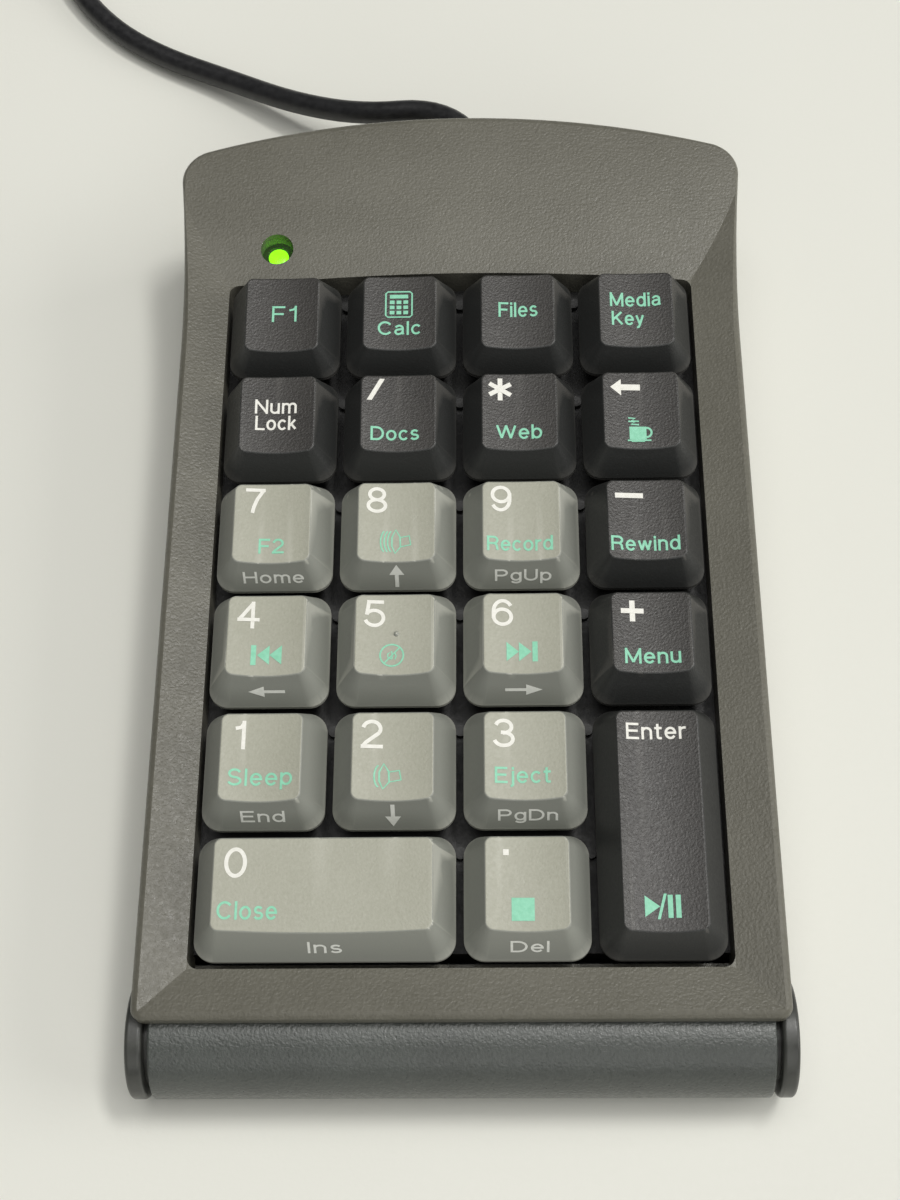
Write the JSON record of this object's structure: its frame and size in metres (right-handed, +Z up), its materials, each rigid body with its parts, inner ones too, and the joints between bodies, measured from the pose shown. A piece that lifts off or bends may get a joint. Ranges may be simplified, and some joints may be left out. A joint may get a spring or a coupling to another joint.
{
  "type": "numeric keypad",
  "caption": "Corded desktop numeric keypad with dark and light sprung keys, a flared header with an indicator lamp, and a round front roll.",
  "frame": {"origin": "centre of the keypad's base (case and front roll, without the cord), on the surface that it stands on", "axes": "+X to the user's right, +Y away from the user towards the cord, +Z up; the key deck slopes up towards +Y by 2.5 degrees"},
  "size_m": [0.1984, 0.2918, 0.0303],
  "materials": {
    "case_plastic": "fine spark-eroded grain",
    "roll_plastic": "fine grain",
    "disc_plastic": "smooth satin",
    "dark_key": "fine grain",
    "light_key": "fine grain",
    "frame_plastic": "moulded, satin",
    "dome_rubber": "matt silicone",
    "film": "clear film with printed tracks",
    "steel": "zinc plated",
    "wire_steel": "bright drawn wire",
    "board": "solder mask",
    "chip": "moulded",
    "capacitor": "sleeved can",
    "socket_plastic": "moulded",
    "lead_sleeve": "smooth",
    "lamp_lens": "tinted, lit green",
    "clear_window": "clear",
    "foot_rubber": "matt",
    "cord_jacket": "satin",
    "tie_strap": "satin",
    "plug_plastic": "satin",
    "plug_metal": "nickel plated",
    "pin_brass": "plated"
  },
  "bodies": {
    "case": {"top_case": "case_plastic", "bottom_case": "case_plastic", "front_roll": "roll_plastic", "left_end_cap": "disc_plastic", "right_end_cap": "disc_plastic", "key_frame": "frame_plastic", "dome_sheet": "dome_rubber", "membrane": "film", "back_plate": "steel", "circuit_board": "board", "controller_chip": "chip", "board_capacitor": "capacitor", "cord_socket": "socket_plastic", "inner_leads": "lead_sleeve", "tail_clamp": "frame_plastic", "indicator_lamp": "lamp_lens", "lamp_window": "clear_window", "case_screws": "steel", "frame_screws": "steel", "rubber_feet": "foot_rubber", "strain_relief": "cord_jacket", "cord": "cord_jacket", "cord_tail": "cord_jacket", "cord_coil": "cord_jacket", "cord_tie": "tie_strap", "plug_body": "plug_plastic", "plug_shell": "plug_metal", "plug_pins": "pin_brass"},
    "key_f1_cap": {"key_f1": "dark_key"},
    "key_calculator_cap": {"key_calculator": "dark_key"},
    "key_files_cap": {"key_files": "dark_key"},
    "key_media_cap": {"key_media": "dark_key"},
    "key_num_lock_cap": {"key_num_lock": "dark_key"},
    "key_divide_cap": {"key_divide": "dark_key"},
    "key_multiply_cap": {"key_multiply": "dark_key"},
    "key_backspace_cap": {"key_backspace": "dark_key"},
    "key_7_cap": {"key_7": "light_key"},
    "key_8_cap": {"key_8": "light_key"},
    "key_9_cap": {"key_9": "light_key"},
    "key_minus_cap": {"key_minus": "dark_key"},
    "key_4_cap": {"key_4": "light_key"},
    "key_5_cap": {"key_5": "light_key"},
    "key_6_cap": {"key_6": "light_key"},
    "key_plus_cap": {"key_plus": "dark_key"},
    "key_1_cap": {"key_1": "light_key"},
    "key_2_cap": {"key_2": "light_key"},
    "key_3_cap": {"key_3": "light_key"},
    "key_enter_cap": {"key_enter": "dark_key"},
    "key_0_cap": {"key_0": "light_key"},
    "key_point_cap": {"key_point": "light_key"},
    "zero_wire": {"zero_stabiliser": "wire_steel"},
    "enter_wire": {"enter_stabiliser": "wire_steel"}
  },
  "joints": [
    {"name": "key_f1_press", "type": "slide", "parent": "case", "child": "key_f1_cap", "axis": [0, 0.0436, -0.999], "range_m": [0, 0.0035], "stiffness_N_per_m": 150, "springref_m": -0.002, "deforming": ["dome_sheet"]},
    {"name": "key_calculator_press", "type": "slide", "parent": "case", "child": "key_calculator_cap", "axis": [0, 0.0436, -0.999], "range_m": [0, 0.0035], "stiffness_N_per_m": 150, "springref_m": -0.002, "deforming": ["dome_sheet"]},
    {"name": "key_files_press", "type": "slide", "parent": "case", "child": "key_files_cap", "axis": [0, 0.0436, -0.999], "range_m": [0, 0.0035], "stiffness_N_per_m": 150, "springref_m": -0.002, "deforming": ["dome_sheet"]},
    {"name": "key_media_press", "type": "slide", "parent": "case", "child": "key_media_cap", "axis": [0, 0.0436, -0.999], "range_m": [0, 0.0035], "stiffness_N_per_m": 150, "springref_m": -0.002, "deforming": ["dome_sheet"]},
    {"name": "key_num_lock_press", "type": "slide", "parent": "case", "child": "key_num_lock_cap", "axis": [0, 0.0436, -0.999], "range_m": [0, 0.0035], "stiffness_N_per_m": 150, "springref_m": -0.002, "deforming": ["dome_sheet"]},
    {"name": "key_divide_press", "type": "slide", "parent": "case", "child": "key_divide_cap", "axis": [0, 0.0436, -0.999], "range_m": [0, 0.0035], "stiffness_N_per_m": 150, "springref_m": -0.002, "deforming": ["dome_sheet"]},
    {"name": "key_multiply_press", "type": "slide", "parent": "case", "child": "key_multiply_cap", "axis": [0, 0.0436, -0.999], "range_m": [0, 0.0035], "stiffness_N_per_m": 150, "springref_m": -0.002, "deforming": ["dome_sheet"]},
    {"name": "key_backspace_press", "type": "slide", "parent": "case", "child": "key_backspace_cap", "axis": [0, 0.0436, -0.999], "range_m": [0, 0.0035], "stiffness_N_per_m": 150, "springref_m": -0.002, "deforming": ["dome_sheet"]},
    {"name": "key_7_press", "type": "slide", "parent": "case", "child": "key_7_cap", "axis": [0, 0.0436, -0.999], "range_m": [0, 0.0035], "stiffness_N_per_m": 150, "springref_m": -0.002, "deforming": ["dome_sheet"]},
    {"name": "key_8_press", "type": "slide", "parent": "case", "child": "key_8_cap", "axis": [0, 0.0436, -0.999], "range_m": [0, 0.0035], "stiffness_N_per_m": 150, "springref_m": -0.002, "deforming": ["dome_sheet"]},
    {"name": "key_9_press", "type": "slide", "parent": "case", "child": "key_9_cap", "axis": [0, 0.0436, -0.999], "range_m": [0, 0.0035], "stiffness_N_per_m": 150, "springref_m": -0.002, "deforming": ["dome_sheet"]},
    {"name": "key_minus_press", "type": "slide", "parent": "case", "child": "key_minus_cap", "axis": [0, 0.0436, -0.999], "range_m": [0, 0.0035], "stiffness_N_per_m": 150, "springref_m": -0.002, "deforming": ["dome_sheet"]},
    {"name": "key_4_press", "type": "slide", "parent": "case", "child": "key_4_cap", "axis": [0, 0.0436, -0.999], "range_m": [0, 0.0035], "stiffness_N_per_m": 150, "springref_m": -0.002, "deforming": ["dome_sheet"]},
    {"name": "key_5_press", "type": "slide", "parent": "case", "child": "key_5_cap", "axis": [0, 0.0436, -0.999], "range_m": [0, 0.0035], "stiffness_N_per_m": 150, "springref_m": -0.002, "deforming": ["dome_sheet"]},
    {"name": "key_6_press", "type": "slide", "parent": "case", "child": "key_6_cap", "axis": [0, 0.0436, -0.999], "range_m": [0, 0.0035], "stiffness_N_per_m": 150, "springref_m": -0.002, "deforming": ["dome_sheet"]},
    {"name": "key_plus_press", "type": "slide", "parent": "case", "child": "key_plus_cap", "axis": [0, 0.0436, -0.999], "range_m": [0, 0.0035], "stiffness_N_per_m": 150, "springref_m": -0.002, "deforming": ["dome_sheet"]},
    {"name": "key_1_press", "type": "slide", "parent": "case", "child": "key_1_cap", "axis": [0, 0.0436, -0.999], "range_m": [0, 0.0035], "stiffness_N_per_m": 150, "springref_m": -0.002, "deforming": ["dome_sheet"]},
    {"name": "key_2_press", "type": "slide", "parent": "case", "child": "key_2_cap", "axis": [0, 0.0436, -0.999], "range_m": [0, 0.0035], "stiffness_N_per_m": 150, "springref_m": -0.002, "deforming": ["dome_sheet"]},
    {"name": "key_3_press", "type": "slide", "parent": "case", "child": "key_3_cap", "axis": [0, 0.0436, -0.999], "range_m": [0, 0.0035], "stiffness_N_per_m": 150, "springref_m": -0.002, "deforming": ["dome_sheet"]},
    {"name": "key_enter_press", "type": "slide", "parent": "case", "child": "key_enter_cap", "axis": [0, 0.0436, -0.999], "range_m": [0, 0.0035], "stiffness_N_per_m": 150, "springref_m": -0.002, "deforming": ["dome_sheet"]},
    {"name": "key_0_press", "type": "slide", "parent": "case", "child": "key_0_cap", "axis": [0, 0.0436, -0.999], "range_m": [0, 0.0035], "stiffness_N_per_m": 150, "springref_m": -0.002, "deforming": ["dome_sheet"]},
    {"name": "key_point_press", "type": "slide", "parent": "case", "child": "key_point_cap", "axis": [0, 0.0436, -0.999], "range_m": [0, 0.0035], "stiffness_N_per_m": 150, "springref_m": -0.002, "deforming": ["dome_sheet"]},
    {"name": "zero_wire_turn", "type": "hinge", "parent": "case", "child": "zero_wire", "pos_m": [-0.01905, -0.05071, 0.01515], "axis": [1, 0, 0], "range_deg": [0, 25]},
    {"name": "enter_wire_turn", "type": "hinge", "parent": "case", "child": "enter_wire", "pos_m": [0.02318, -0.04659, 0.01533], "axis": [0, 0.999, 0.0436], "range_deg": [0, 25]}
  ],
  "couplings": [
    {"joint": "zero_wire_turn", "follows": "key_0_press", "rad_per_m": 122.92},
    {"joint": "enter_wire_turn", "follows": "key_enter_press", "rad_per_m": 122.92}
  ]
}
